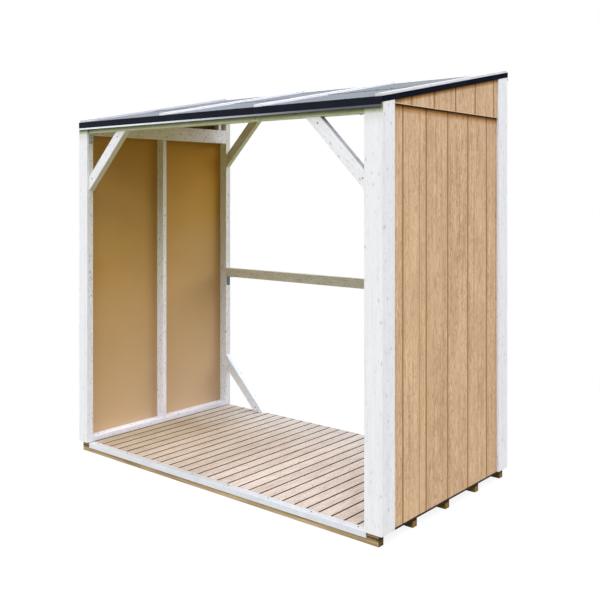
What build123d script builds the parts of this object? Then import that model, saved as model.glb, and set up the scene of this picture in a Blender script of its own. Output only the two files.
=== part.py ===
"""Open-fronted log store: two panelled side walls, a slatted floor and a mono-pitch roof.

Millimetres. +X to the right, +Y to the back, +Z up. The origin is on the ground, at the
middle of the footprint.
"""
import os

from build123d import *

# Overall, over the corner boards
outer_width = 2264
outer_depth = 1244

# Timbers of the frames
timber_width = 62
stud_thickness = 30
beam_thickness = 38
timber_ease = 1.5

# Base: bearers on the ground, slats across them
bearer_section = 38
inner_bearer_spacing = 306
deck_end_gap = 4
slat_width = 72
slat_gap = 5
slat_thickness = 18
slat_ease = 1.5
narrowest_slat = 10
sill_depth = 40
sill_height = 30
sill_thickness = 5
sill_end_gap = 8
sill_rebate_gap = 1
sill_ease = 1

# Side walls
bottom_plate_height = 30
top_plate_height = 93
top_plate_below_header = 9
gable_stud_setback = 47
sheet_thickness = 7
groove_pitch = 206
groove_width = 8
groove_floor = 3
groove_depth = 2.5
wall_groove_start = 181
gable_groove_start = 153
gable_sheet_drop = 22
corner_board_thickness = 14
side_board_width = 95
wide_face_board_width = 96

# Front and rear frames
front_header_height = 58
rear_header_height = 64
front_left_brace_drop = 352
front_right_brace_drop = 369
rear_upper_brace_drop = 403
rear_lower_brace_rise = 362
rail_bottom = 986
bracket_leg = 64
bracket_width = 30
bracket_thickness = 2
bracket_bend = 3
screw_hole = 5
screw_inset = 14

# Roof
roof_front_height = 2027
roof_rise = 240
roof_board_thickness = 12
felt_thickness = 3
rafter_width = 38
rafter_height = 64
inner_batten_x = 364
outer_batten_inset = 2
batten_width = 38
batten_thickness = 13
batten_end_gap = 7
trim_thickness = 1
trim_flange = 25
end_trim_drop = 34
side_trim_drop = 27
drip_height = 12
drip_reach = 5

# Places worked out from the sizes above
half_width = outer_width / 2
half_depth = outer_depth / 2
deck_top = bearer_section + slat_thickness
sheet_outside = half_width - corner_board_thickness
stud_outside = sheet_outside - sheet_thickness
stud_inside = stud_outside - timber_width
frame_front = half_depth - corner_board_thickness
post_back = frame_front - stud_thickness
wall_x = (-stud_outside, -stud_inside)
plate_x = (-stud_inside - beam_thickness, -stud_inside)
front_frame_y = (-frame_front, beam_thickness - frame_front)
rear_frame_y = (post_back, post_back + beam_thickness)
deck_end = stud_outside - deck_end_gap
sill_back = sill_depth - sill_thickness - frame_front
sill_end = stud_inside - sill_end_gap
roof_slope = roof_rise / outer_depth
roof_build_up = roof_board_thickness + felt_thickness
roof_top = roof_front_height + roof_rise


def roof_height(y, above_board=0):
    """Height on the roof slope: the underside of the roof board, or a level above it."""
    return roof_front_height - roof_build_up + (y + half_depth) * roof_slope + above_board


front_header_bottom = roof_height(front_frame_y[0]) - front_header_height
rear_header_bottom = roof_height(rear_frame_y[0]) - rear_header_height
top_plate_bottom = front_header_bottom - top_plate_below_header


def block(x, y, z):
    """Square-cut piece between the two ends given for each axis."""
    size = [abs(ends[1] - ends[0]) for ends in (x, y, z)]
    centre = [(ends[0] + ends[1]) / 2 for ends in (x, y, z)]
    return Pos(*centre) * Box(*size)


def eased(piece, axis):
    """The piece with its long edges, those along the axis, planed off a little."""
    return chamfer(piece.edges().filter_by(axis), timber_ease)


def along_x(section, x):
    """Piece with one section of (y, z) points all the way between two places on X."""
    face = make_face(Polyline(*[(x[0], *point) for point in section], close=True))
    return extrude(face, amount=x[1] - x[0], dir=(1, 0, 0))


def along_y(section, y):
    """Piece with one section of (x, z) points all the way between two places on Y."""
    face = make_face(Polyline(*[(point[0], y[0], point[1]) for point in section], close=True))
    return extrude(face, amount=y[1] - y[0], dir=(0, 1, 0))


def roof_layer(bottom, top, x, y):
    """Slab that lies on the roof slope, between two levels above the roof board's underside."""
    lower = [(place, roof_height(place, bottom)) for place in y]
    upper = [(place, roof_height(place, top)) for place in reversed(y)]
    return along_x(lower + upper, x)


def cut_to_roof(piece):
    """The piece with everything above the underside of the roof board taken off."""
    return piece - roof_layer(0, roof_top, (-outer_width, outer_width), (-outer_depth, outer_depth))


def mirrored(piece):
    """The right-hand twin of a left-hand piece."""
    return mirror(piece, about=Plane.YZ)


def write(name, piece):
    """Write one sub-part to its STEP file."""
    export_step(piece, f"parts/{name}.step")


def write_pair(name, left_piece):
    """Write a left-hand piece and its right-hand twin."""
    write("left_" + name, left_piece)
    write("right_" + name, mirrored(left_piece))


# Base
def bearer(y):
    y_ends = (y - bearer_section / 2, y + bearer_section / 2)
    return eased(block((-deck_end, deck_end), y_ends, (0, bearer_section)), Axis.X)


def slat(x):
    piece = block(x, (-frame_front, frame_front), (bearer_section, deck_top))
    top_edges = piece.edges().filter_by(Axis.Y).group_by(Axis.Z)[-1]
    return chamfer(top_edges, slat_ease)


def deck_boards():
    """Slats laid out from the middle, the end ones ripped down, rebated in front for the sill."""
    spans = [(-slat_width / 2, slat_width / 2)]
    left = slat_width / 2 + slat_gap
    while left < deck_end - narrowest_slat:
        right = min(left + slat_width, deck_end)
        spans += [(left, right), (-right, -left)]
        left = right + slat_gap
    rebate_x = (-sill_end - sill_rebate_gap, sill_end + sill_rebate_gap)
    rebate_y = (-half_depth, sill_back + sill_rebate_gap)
    rebate = block(rebate_x, rebate_y, (deck_top - sill_thickness, deck_top + slat_thickness))
    return Compound([slat(span) - rebate for span in sorted(spans)])


def front_sill():
    """Angle let in flush over the front ends of the slats."""
    front = -frame_front - sill_thickness
    section = [
        (front, deck_top - sill_height),
        (-frame_front, deck_top - sill_height),
        (-frame_front, deck_top - sill_thickness),
        (sill_back, deck_top - sill_thickness),
        (sill_back, deck_top),
        (front, deck_top),
    ]
    sill = along_x(section, (-sill_end, sill_end))
    return chamfer(sill.edges().filter_by(Axis.X).group_by(Axis.Y)[0], sill_ease)


def build_base():
    outer_y = frame_front - bearer_section / 2
    places = (-outer_y, -inner_bearer_spacing, 0, inner_bearer_spacing, outer_y)
    for number, y in enumerate(places, 1):
        write(f"bearer_{number}", bearer(y))
    write("deck_boards", deck_boards())
    write("front_sill", front_sill())


# Side walls, modelled on the left
def wall_post(y, z):
    return cut_to_roof(eased(block(wall_x, (y, y + stud_thickness), z), Axis.Z))


def bottom_plate():
    z = (deck_top, deck_top + bottom_plate_height)
    return eased(block(wall_x, (-post_back, post_back), z), Axis.Y)


def top_plate():
    z = (top_plate_bottom, top_plate_bottom + top_plate_height)
    return cut_to_roof(eased(block(plate_x, (-post_back, post_back), z), Axis.Y))


def gable_stud():
    back = post_back - gable_stud_setback
    z = (top_plate_bottom + top_plate_height, roof_top)
    return cut_to_roof(eased(block(plate_x, (back - stud_thickness, back), z), Axis.Z))


def grooved_sheet(outside, y_ends, groove_start, bottom):
    """Upright sheet whose outer face has grooves at the groove pitch, cut to the roof."""
    inside = outside - sheet_thickness
    valley = outside - groove_depth
    points = [(-inside, y_ends[0]), (-outside, y_ends[0])]
    groove = y_ends[0] + groove_start
    while groove < y_ends[1] - groove_width:
        points += [
            (-outside, groove - groove_width / 2),
            (-valley, groove - groove_floor / 2),
            (-valley, groove + groove_floor / 2),
            (-outside, groove + groove_width / 2),
        ]
        groove += groove_pitch
    points += [(-outside, y_ends[1]), (-inside, y_ends[1])]
    plan = make_face(Polyline(*points, close=True))
    return cut_to_roof(Pos(0, 0, bottom) * extrude(plan, amount=roof_top - bottom, dir=(0, 0, 1)))


def wall_panel():
    return grooved_sheet(sheet_outside, (-frame_front, frame_front), wall_groove_start, deck_top)


def gable_panel():
    """Upper sheet, lapped over the wall sheet between the side boards."""
    end = frame_front - side_board_width
    outside = sheet_outside + sheet_thickness
    return grooved_sheet(outside, (-end, end), gable_groove_start, roof_front_height - gable_sheet_drop)


def side_board(y_ends):
    return cut_to_roof(eased(block((-half_width, -sheet_outside), y_ends, (deck_top, roof_top)), Axis.Z))


def side_boards():
    front = side_board((-frame_front, side_board_width - frame_front))
    rear = side_board((frame_front - side_board_width, frame_front))
    return Compound([front, rear])


def face_boards(y_ends, right_width):
    """Boards over the two posts of one end: the left one flush with its post inside."""
    z = (deck_top, roof_top)
    left = eased(block((-half_width, -stud_inside), y_ends, z), Axis.Z)
    right = eased(block((half_width - right_width, half_width), y_ends, z), Axis.Z)
    return Compound([cut_to_roof(left), cut_to_roof(right)])


def build_walls():
    write_pair("bottom_plate", bottom_plate())
    write_pair("top_plate", top_plate())
    write_pair("front_post", wall_post(-frame_front, (deck_top, roof_top)))
    write_pair("rear_post", wall_post(post_back, (deck_top, roof_top)))
    stud_z = (deck_top + bottom_plate_height, top_plate_bottom)
    write_pair("center_stud", wall_post(-stud_thickness / 2, stud_z))
    write_pair("gable_stud", gable_stud())
    write_pair("wall_panel", wall_panel())
    write_pair("gable_panel", gable_panel())
    write_pair("side_corner_boards", side_boards())
    write("front_corner_boards", face_boards((-half_depth, -frame_front), wide_face_board_width))
    write("rear_corner_boards", face_boards((frame_front, half_depth), half_width - stud_inside))


# Front and rear frames
def header(y_ends, bottom):
    return cut_to_roof(eased(block((-stud_inside, stud_inside), y_ends, (bottom, roof_top)), Axis.X))


def brace(y_ends, drop, beam_z):
    """45 degree brace on the left post, reaching down from a header by the drop, or up from the deck."""
    reach = abs(drop)
    cut = timber_width * 2 ** 0.5
    post_z = beam_z - drop
    post_cut = cut if drop > 0 else -cut
    x = -stud_inside
    outline = [(x, post_z), (x + reach, beam_z), (x + reach - cut, beam_z), (x, post_z + post_cut)]
    piece = along_y(outline, y_ends)
    sloping = [edge for edge in piece.edges() if abs(edge.tangent_at(0).X * edge.tangent_at(0).Z) > 0.1]
    return chamfer(sloping, timber_ease)


def angle_bracket(y, top):
    """Folded angle in the corner under a beam, on the left post, with two screw holes in each leg."""
    x = -stud_inside
    z = (top - bracket_leg, top)
    ends = (y - bracket_width / 2, y + bracket_width / 2)
    leg = block((x, x + bracket_thickness), ends, z)
    arm = block((x, x + bracket_leg), ends, (top - bracket_thickness, top))
    inner_bend = (leg + arm).edges().filter_by(Axis.Y).sort_by_distance((x, y, top))[1]
    bracket = fillet(inner_bend, bracket_bend)
    for distance in (screw_inset * 2, bracket_leg - screw_inset):
        arm_hole = Pos(x + distance, y, top) * Cylinder(screw_hole / 2, bracket_leg)
        leg_hole = Pos(x, y, top - distance) * Rot(0, 90, 0) * Cylinder(screw_hole / 2, bracket_leg)
        bracket -= [arm_hole, leg_hole]
    return bracket


def corner_brackets():
    """Brackets at both ends of the front header and of the rear rail."""
    front_y = front_frame_y[0] + bracket_width / 2
    rear_y = rear_frame_y[1] - bracket_width / 2
    left = [angle_bracket(front_y, front_header_bottom), angle_bracket(rear_y, rail_bottom)]
    return Compound(left + [mirrored(bracket) for bracket in left])


def build_frames():
    write("front_header", header(front_frame_y, front_header_bottom))
    write("rear_header", header(rear_frame_y, rear_header_bottom))
    write("left_front_brace", brace(front_frame_y, front_left_brace_drop, front_header_bottom))
    right_brace = brace(front_frame_y, front_right_brace_drop, front_header_bottom)
    write("right_front_brace", mirrored(right_brace))
    write_pair("rear_upper_brace", brace(rear_frame_y, rear_upper_brace_drop, rear_header_bottom))
    write_pair("rear_lower_brace", brace(rear_frame_y, -rear_lower_brace_rise, deck_top))
    rail_z = (rail_bottom, rail_bottom + timber_width)
    write("rear_rail", eased(block((-stud_inside, stud_inside), rear_frame_y, rail_z), Axis.X))
    write("corner_brackets", corner_brackets())


# Roof
def rafter(x, width, y_ends):
    return roof_layer(-rafter_height, 0, (x - width / 2, x + width / 2), y_ends)


def rafters():
    """Gable rafters behind the top plates, inner rafters between the headers."""
    gable_width = timber_width - beam_thickness
    gable = rafter(gable_width / 2 - stud_outside, gable_width, (-post_back, post_back))
    inner = rafter(-inner_batten_x, rafter_width, (front_frame_y[1], rear_frame_y[0]))
    return Compound([gable, inner, mirrored(inner), mirrored(gable)])


def batten(x):
    y = (batten_end_gap - half_depth, half_depth - batten_end_gap)
    x_ends = (x - batten_width / 2, x + batten_width / 2)
    return roof_layer(roof_build_up, roof_build_up + batten_thickness, x_ends, y)


def roof_battens():
    outer_x = half_width - outer_batten_inset - batten_width / 2
    return Compound([batten(x) for x in (-outer_x, -inner_batten_x, inner_batten_x, outer_x)])


def end_trim(side):
    """Folded strip across the front (side -1) or rear (1): flange, face and kicked-out drip edge."""
    inner = side * half_depth
    outer = side * (half_depth + trim_thickness)
    flange = side * (half_depth - trim_flange)
    face_bottom = roof_height(inner, roof_build_up) - end_trim_drop
    drip_bottom = face_bottom - drip_height
    section = [
        (flange, roof_height(flange, roof_board_thickness)),
        (inner, roof_height(inner, roof_board_thickness)),
        (inner, face_bottom),
        (inner + side * drip_reach, drip_bottom),
        (outer + side * drip_reach, drip_bottom),
        (outer, face_bottom),
        (outer, roof_height(outer, roof_build_up)),
        (flange, roof_height(flange, roof_build_up)),
    ]
    return along_x(section, (-half_width, half_width))


def side_trim():
    """Folded strip down the left side, its flange let in between the end strips' flanges."""
    flange_y = (trim_flange - half_depth, half_depth - trim_flange)
    flange_x = (-half_width, trim_flange - half_width)
    flange = roof_layer(roof_board_thickness, roof_build_up, flange_x, flange_y)
    face_y = (-half_depth - trim_thickness, half_depth + trim_thickness)
    face_x = (-half_width - trim_thickness, -half_width)
    return flange + roof_layer(roof_build_up - side_trim_drop, roof_build_up, face_x, face_y)


def build_roof():
    x = (-half_width, half_width)
    y = (-half_depth, half_depth)
    write("rafters", rafters())
    write("roof_board", roof_layer(0, roof_board_thickness, x, y))
    felt_x = (trim_flange - half_width, half_width - trim_flange)
    felt_y = (trim_flange - half_depth, half_depth - trim_flange)
    write("roof_felt", roof_layer(roof_board_thickness, roof_build_up, felt_x, felt_y))
    write("roof_battens", roof_battens())
    write("front_trim", end_trim(-1))
    write("rear_trim", end_trim(1))
    write_pair("side_trim", side_trim())


os.makedirs("parts", exist_ok=True)
build_base()
build_walls()
build_frames()
build_roof()
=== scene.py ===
import math
import random

import bmesh
import bpy
from mathutils import Matrix, Vector


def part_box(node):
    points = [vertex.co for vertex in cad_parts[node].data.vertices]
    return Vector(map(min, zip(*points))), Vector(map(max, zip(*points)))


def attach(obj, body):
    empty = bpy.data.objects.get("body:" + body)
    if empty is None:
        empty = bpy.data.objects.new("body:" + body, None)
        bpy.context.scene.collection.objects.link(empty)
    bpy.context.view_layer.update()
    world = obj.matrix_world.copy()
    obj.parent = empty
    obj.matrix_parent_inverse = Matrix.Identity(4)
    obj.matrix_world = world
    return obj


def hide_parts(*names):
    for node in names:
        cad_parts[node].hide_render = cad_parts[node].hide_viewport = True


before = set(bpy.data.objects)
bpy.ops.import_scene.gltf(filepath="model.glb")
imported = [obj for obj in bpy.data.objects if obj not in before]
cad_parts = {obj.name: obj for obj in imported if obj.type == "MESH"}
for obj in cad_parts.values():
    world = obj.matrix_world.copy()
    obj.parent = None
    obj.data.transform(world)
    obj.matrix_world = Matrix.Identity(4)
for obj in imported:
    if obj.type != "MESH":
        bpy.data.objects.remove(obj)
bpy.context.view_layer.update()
random.seed(11)
print("frame loaded:", len(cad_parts), "nodes")

# levels on the roof: the top of the board, the top of the felt, and the foot of the side strips
roof = {"board": 0.012, "covered": 0.015, "sideTrimBelow": 0.012}
boardLow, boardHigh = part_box("roof_board")
roofSlope = (boardHigh.z - boardLow.z - roof["board"]) / (boardHigh.y - boardLow.y)
offRoof = Vector((0, -roofSlope, 1)).normalized()


def roofLevel(y, above=0.0):
    # height on the slope, counted from the underside of the roof board
    return boardLow.z + (y - boardLow.y) * roofSlope + above


def addNode(tree, kind, inputs=None, **settings):
    node = tree.nodes.new(kind)
    for key, value in settings.items():
        setattr(node, key, value)
    for key, value in (inputs or {}).items():
        if isinstance(value, bpy.types.NodeSocket):
            tree.links.new(value, node.inputs[key])
        else:
            node.inputs[key].default_value = value
    return node


def maths(tree, operation, first, second=0.0):
    return addNode(tree, "ShaderNodeMath", {0: first, 1: second}, operation=operation).outputs[0]


def vectorMaths(tree, operation, first, second):
    inputs = {0: first, 1: second}
    return addNode(tree, "ShaderNodeVectorMath", inputs, operation=operation).outputs[0]


def spread(tree, value, fromLow, fromHigh, toLow=0.0, toHigh=1.0, how="LINEAR"):
    inputs = {"Value": value, "From Min": fromLow, "From Max": fromHigh, "To Min": toLow, "To Max": toHigh}
    return addNode(tree, "ShaderNodeMapRange", inputs, interpolation_type=how).outputs["Result"]


def places(tree):
    # the sockets of the coordinates: Object for the place on a piece, Normal for where it faces
    return addNode(tree, "ShaderNodeTexCoord").outputs


def split(tree, vector):
    return addNode(tree, "ShaderNodeSeparateXYZ", {0: vector}).outputs


def blendColors(tree, amount, first, second, how="MIX"):
    node = addNode(tree, "ShaderNodeMix", data_type="RGBA", blend_type=how)
    for socket, value in ((node.inputs[0], amount), (node.inputs[6], first), (node.inputs[7], second)):
        if isinstance(value, bpy.types.NodeSocket):
            tree.links.new(value, socket)
        elif socket == node.inputs[0]:
            socket.default_value = value
        else:
            socket.default_value = (*value, 1.0)
    return node.outputs[2]


def scaleColor(tree, color, factor):
    return addNode(tree, "ShaderNodeVectorMath", {0: color, 3: factor}, operation="SCALE").outputs[0]


def noise(tree, vector, scale, detail=3.0, rough=0.5, twist=0.0):
    inputs = {"Vector": vector, "Scale": scale, "Detail": detail, "Roughness": rough, "Distortion": twist}
    return addNode(tree, "ShaderNodeTexNoise", inputs).outputs["Fac"]


def chances(tree, number):
    # a random value and a random colour for each whole number
    return addNode(tree, "ShaderNodeTexWhiteNoise", {"W": number}, noise_dimensions="1D").outputs


def startFinish(name, roughness, metallic=0.0, specular=0.5):
    finish = bpy.data.materials.new(name)
    finish.use_nodes = True
    shader = finish.node_tree.nodes["Principled BSDF"]
    shader.inputs["Roughness"].default_value = roughness
    shader.inputs["Metallic"].default_value = metallic
    shader.inputs["Specular IOR Level"].default_value = specular
    return finish, finish.node_tree, shader


def endFinish(tree, shader, color, height, strength, depth):
    # the colour goes in, and a relief as strong and as deep as given
    tree.links.new(color, shader.inputs["Base Color"])
    bump = addNode(tree, "ShaderNodeBump", {"Height": height, "Strength": strength, "Distance": depth})
    tree.links.new(bump.outputs["Normal"], shader.inputs["Normal"])


# one grain direction for each way that a piece of timber runs
grainTurns = {
    "up": (0.0, 0.0, 0.0),
    "across": (0.0, math.pi / 2, 0.0),
    "back": (-math.pi / 2, 0.0, 0.0),
    "leaningRight": (0.0, math.pi / 4, 0.0),
    "leaningLeft": (0.0, -math.pi / 4, 0.0),
}
grainLines = {
    "up": (0, 0, 1),
    "across": (1, 0, 0),
    "back": (0, 1, 0),
    "leaningRight": (0.7071, 0, 0.7071),
    "leaningLeft": (-0.7071, 0, 0.7071),
}


def grainSpace(tree, run, stretch):
    # object coordinates turned so that the grain lies on the third axis, then stretched along it
    inputs = {"Vector": places(tree)["Object"], "Rotation": grainTurns[run], "Scale": (1.0, 1.0, stretch)}
    return addNode(tree, "ShaderNodeMapping", inputs, vector_type="TEXTURE").outputs[0]


def shiftedGrain(tree, run, stretch, shift):
    # the same, moved along by a shift that differs from board to board
    return vectorMaths(tree, "ADD", grainSpace(tree, run, stretch), shift)


def endGrain(tree, run):
    # 1 on the sawn ends, 0 along the piece
    facing = addNode(tree, "ShaderNodeVectorMath", {0: places(tree)["Normal"], 1: grainLines[run]},
                     operation="DOT_PRODUCT").outputs["Value"]
    return spread(tree, maths(tree, "ABSOLUTE", facing), 0.6, 0.75)


def notBehind(tree):
    # 0 on the faces that look back, 1 on all the others
    return spread(tree, split(tree, places(tree)["Normal"])["Y"], 0.2, 0.5, 1.0, 0.0)


def knots(tree, run, spacing, radius):
    # 1 in the middle of a knot, falling to 0 at its rim
    inputs = {"Vector": grainSpace(tree, run, 1.7), "Scale": 1 / spacing}
    cells = addNode(tree, "ShaderNodeTexVoronoi", inputs, feature="F1").outputs["Distance"]
    return spread(tree, cells, 0.0, radius / spacing, 1.0, 0.0)


whitePaint = {"base": (0.89, 0.875, 0.925), "streak": (0.72, 0.71, 0.75), "knot": (0.36, 0.37, 0.39),
              "fleck": (0.33, 0.27, 0.23), "end": (0.72, 0.72, 0.71),
              "grainStretch": 22.0, "fineGrain": 260.0, "broadGrain": 46.0,
              "fleckStretch": 3.0, "blots": 42.0, "flecks": 170.0,
              "knotSpacing": 0.046, "knotRadius": 0.0075, "roughness": 0.45}


def shadeAndDirtFilm(low, high=None, ahead=1.0, aside=1.0, rough=0.5, turns=("Z", 0.8, 1.9)):
    # a film laid on all but the back of a piece: mostly painted shade, dim and olive where the roof
    # keeps the light off, otherwise a tint; its tones at the two ends, its share on the front and on the
    # sides, how much dirt it holds, and the axis and the places between which it turns from one tone to the
    # other
    return {"low": low, "high": high or low, "ahead": ahead, "aside": aside, "rough": rough, "turns": turns}


shadeAndDirtFilms = {
    # painted olive shade on the headers, under the roof and the drip
    "oliveShade": shadeAndDirtFilm((0.70, 0.78, 0.46), rough=0.7),
    # painted olive shade on the upper rear braces, under the roof
    "upperBraceShade": shadeAndDirtFilm((0.76, 0.80, 0.49), rough=0.8),
    # painted olive shade on the rear rail, under the roof
    "rail": shadeAndDirtFilm((0.88, 0.92, 0.74), rough=1.0),
    # painted shade on the posts and studs: bluish low down, darker and more olive towards the roof
    "indoorShade": shadeAndDirtFilm((0.99, 1.05, 1.07), (0.87, 0.93, 0.62), aside=0.4, rough=0.9),
    # painted shade on the top plates: darker and olive at the front, painted light makes them paler towards
    # the back
    "plate": shadeAndDirtFilm((0.96, 0.98, 0.74), (1.06, 1.08, 1.12), rough=1.0, turns=("Y", 0.0, 0.45)),
    # painted olive shade on the sides of the left front brace
    "brace": shadeAndDirtFilm((0.84, 0.86, 0.68), ahead=0.0),
    "floor": shadeAndDirtFilm((0.97, 0.98, 1.00), rough=0.7),
    "foot": shadeAndDirtFilm((0.92, 1.00, 1.00)),
    # painted shade that keeps the side boards a little darker than the front ones
    "side": shadeAndDirtFilm((0.94, 0.95, 0.96), rough=0.35),
    "grey": shadeAndDirtFilm((1.05, 1.05, 1.04), (0.80, 0.81, 0.79), rough=0.3, turns=("X", 0.6, 0.9)),
    # painted shade on the front of the gable studs
    "gableStudShade": shadeAndDirtFilm((0.55, 0.60, 0.55), aside=0.0),
    "shaded": shadeAndDirtFilm((0.55, 0.57, 0.60), ahead=0.0),
}
# painted shade below the drip of a strip: where each band starts to fade, where it ends, and its tone
dripShadeBands = {
    "front_header": ((-0.004, 0.016, (0.17, 0.19, 0.11)),),
    "front_corner_boards": ((0.006, 0.030, (0.26, 0.29, 0.14)), (0.020, 0.080, (0.80, 0.82, 0.74))),
}


# the film multiplies the colour with painted shade or a tint, on all but the back faces
def layFilm(tree, color, film):
    place = places(tree)
    spot, facing = split(tree, place["Object"]), split(tree, place["Normal"])
    cover = spread(tree, noise(tree, place["Object"], 16.0, 3.0, 0.6), 0.3, 0.6, 0.7, 1.0)
    ahead = spread(tree, facing["Y"], -0.8, -0.5, film["ahead"], 1.0)
    aside = spread(tree, maths(tree, "ABSOLUTE", facing["X"]), 0.7, 0.9, 1.0, film["aside"])
    for share in (notBehind(tree), ahead, aside):
        cover = maths(tree, "MULTIPLY", cover, share)
    axis, start, stop = film["turns"]
    level = maths(tree, "ABSOLUTE", spot[axis]) if axis == "X" else spot[axis]
    tint = blendColors(tree, spread(tree, level, start, stop), film["low"], film["high"])
    return blendColors(tree, cover, color, tint, "MULTIPLY")


def makeWhiteTimber(run, filmKind=None, under=None):
    d = whitePaint
    film = shadeAndDirtFilms.get(filmKind)
    name = "_".join(("whiteTimber", under or filmKind or "clean", run))
    finish, tree, shader = startFinish(name, d["roughness"], specular=0.3)
    knot = knots(tree, run, d["knotSpacing"], d["knotRadius"])
    grainWay = grainSpace(tree, run, d["grainStretch"])
    fleckWay = grainSpace(tree, run, d["fleckStretch"])
    fine = noise(tree, grainWay, d["fineGrain"], 4.0, 0.6, 0.4)
    broad = noise(tree, grainWay, d["broadGrain"], 3.0, 0.5, 0.6)
    blots = noise(tree, fleckWay, d["blots"], 4.0, 0.65)
    flecks = noise(tree, fleckWay, d["flecks"], 2.0, 0.6)
    rough = film["rough"] if film else 0.0
    streaks = maths(tree, "ADD", spread(tree, fine, 0.5, 0.74, 0.0, 0.28),
                    spread(tree, broad, 0.48, 0.7, 0.0, 0.28))
    color = blendColors(tree, streaks, d["base"], d["streak"])
    color = blendColors(tree, spread(tree, blots, 0.52, 0.72, 0.0, 0.4), color, d["streak"])
    flecks = spread(tree, flecks, 0.64 - 0.05 * rough, 0.74 - 0.06 * rough, 0.0, 0.3 + 0.4 * rough)
    color = blendColors(tree, flecks, color, d["fleck"])
    color = blendColors(tree, spread(tree, fine, 0.56, 0.68, 0.0, 0.4 * rough), color, d["knot"])
    color = blendColors(tree, spread(tree, knot, 0.0, 0.7, 0.0, 0.4 + 0.3 * rough), color, d["knot"])
    color = blendColors(tree, maths(tree, "MULTIPLY", endGrain(tree, run), 0.6), color, d["end"])
    if film:
        color = layFilm(tree, color, film)
    # painted shade below the drip of the front strip, on all but the back faces
    for fade, end, tone in dripShadeBands.get(under, ()):
        height = split(tree, places(tree)["Object"])["Z"]
        below = maths(tree, "SUBTRACT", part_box("front_trim")[0].z, height)
        shade = maths(tree, "MULTIPLY", spread(tree, below, fade, end, 1.0, 0.0), notBehind(tree))
        color = blendColors(tree, shade, color, tone, "MULTIPLY")
    relief = maths(tree, "SUBTRACT", maths(tree, "MULTIPLY", fine, 0.5), maths(tree, "MULTIPLY", knot, 0.3))
    endFinish(tree, shader, color, relief, 0.25, 0.001)
    return finish


satinMetal = {"base": (0.74, 0.76, 0.80), "dull": (0.57, 0.59, 0.62), "metallic": 0.5,
              "roughness": 0.34, "scuffed": 0.5}


def makeSatinMetal():
    d = satinMetal
    finish, tree, shader = startFinish("satinMetal", d["roughness"], d["metallic"])
    cloud = noise(tree, places(tree)["Object"], 14.0, 4.0, 0.6)
    scuffs = noise(tree, grainSpace(tree, "across", 14.0), 180.0, 3.0, 0.6)
    color = blendColors(tree, spread(tree, cloud, 0.4, 0.75, 0.0, 0.5), d["base"], d["dull"])
    color = blendColors(tree, spread(tree, scuffs, 0.58, 0.75, 0.0, 0.6), color, d["dull"])
    roughness = spread(tree, scuffs, 0.4, 0.75, d["roughness"], d["scuffed"])
    tree.links.new(roughness, shader.inputs["Roughness"])
    endFinish(tree, shader, color, scuffs, 0.08, 0.0005)
    return finish


treatedTimber = {"light": (0.63, 0.46, 0.26), "dark": (0.30, 0.19, 0.095), "knot": (0.12, 0.07, 0.03),
                 "topShade": (0.022, 0.014, 0.007), "grainStretch": 18.0, "fineGrain": 220.0,
                 "broadGrain": 45.0, "knotSpacing": 0.07, "knotRadius": 0.009, "roughness": 0.7}
# the bearers behind the first one have fronts darkened as painted shade under the deck, and paler ends
# the last pair gives the heights at which the painted shadow along the top edge starts and is full
bearerKinds = {
    "first": {"front": (1.0, 1.0, 1.0), "end": (0.13, 0.08, 0.03), "specular": 0.08,
              "topShade": (0.017, 0.038)},
    "hidden": {"front": (0.5, 0.48, 0.22), "end": (0.28, 0.165, 0.062), "specular": 0.0,
               "topShade": (0.027, 0.033)},
}


def makeTreatedTimber(kind):
    d = treatedTimber
    bearer = bearerKinds[kind]
    run = "across"
    finish, tree, shader = startFinish("treatedTimber_" + kind, d["roughness"],
                                       specular=bearer["specular"])
    grainWay = grainSpace(tree, run, d["grainStretch"])
    fine = noise(tree, grainWay, d["fineGrain"], 4.0, 0.65, 0.5)
    broad = noise(tree, grainWay, d["broadGrain"], 3.0, 0.5, 1.0)
    knot = knots(tree, run, d["knotSpacing"], d["knotRadius"])
    color = blendColors(tree, spread(tree, broad, 0.35, 0.7), d["light"], d["dark"])
    color = blendColors(tree, spread(tree, fine, 0.5, 0.8, 0.0, 0.5), color, d["dark"])
    color = blendColors(tree, maths(tree, "MULTIPLY", knot, 0.8), color, d["knot"])
    # the fronts of the hidden bearers are darkened on all but their back faces, as painted shade
    color = blendColors(tree, notBehind(tree), color, bearer["front"], "MULTIPLY")
    color = blendColors(tree, endGrain(tree, run), color, bearer["end"])
    # painted shadow along the top edge, under the deck and the corner boards
    height = split(tree, places(tree)["Object"])["Z"]
    color = blendColors(tree, spread(tree, height, *bearer["topShade"], 0.0, 0.95), color, d["topShade"])
    endFinish(tree, shader, color, fine, 0.4, 0.001)
    return finish


bareTimber = {"light": (0.66, 0.50, 0.31), "dark": (0.45, 0.30, 0.16), "end": (0.50, 0.36, 0.2),
              "grainStretch": 18.0, "fineGrain": 200.0, "knotSpacing": 0.07, "knotRadius": 0.01,
              "roughness": 0.7}


def makeBareTimber(run):
    d = bareTimber
    finish, tree, shader = startFinish("bareTimber_" + run, d["roughness"], specular=0.2)
    fine = noise(tree, grainSpace(tree, run, d["grainStretch"]), d["fineGrain"], 4.0, 0.6, 0.5)
    knot = knots(tree, run, d["knotSpacing"], d["knotRadius"])
    color = blendColors(tree, spread(tree, fine, 0.4, 0.75), d["light"], d["dark"])
    color = blendColors(tree, maths(tree, "MULTIPLY", knot, 0.7), color, d["dark"])
    color = blendColors(tree, maths(tree, "MULTIPLY", endGrain(tree, run), 0.8), color, d["end"])
    endFinish(tree, shader, color, fine, 0.35, 0.001)
    return finish


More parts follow.
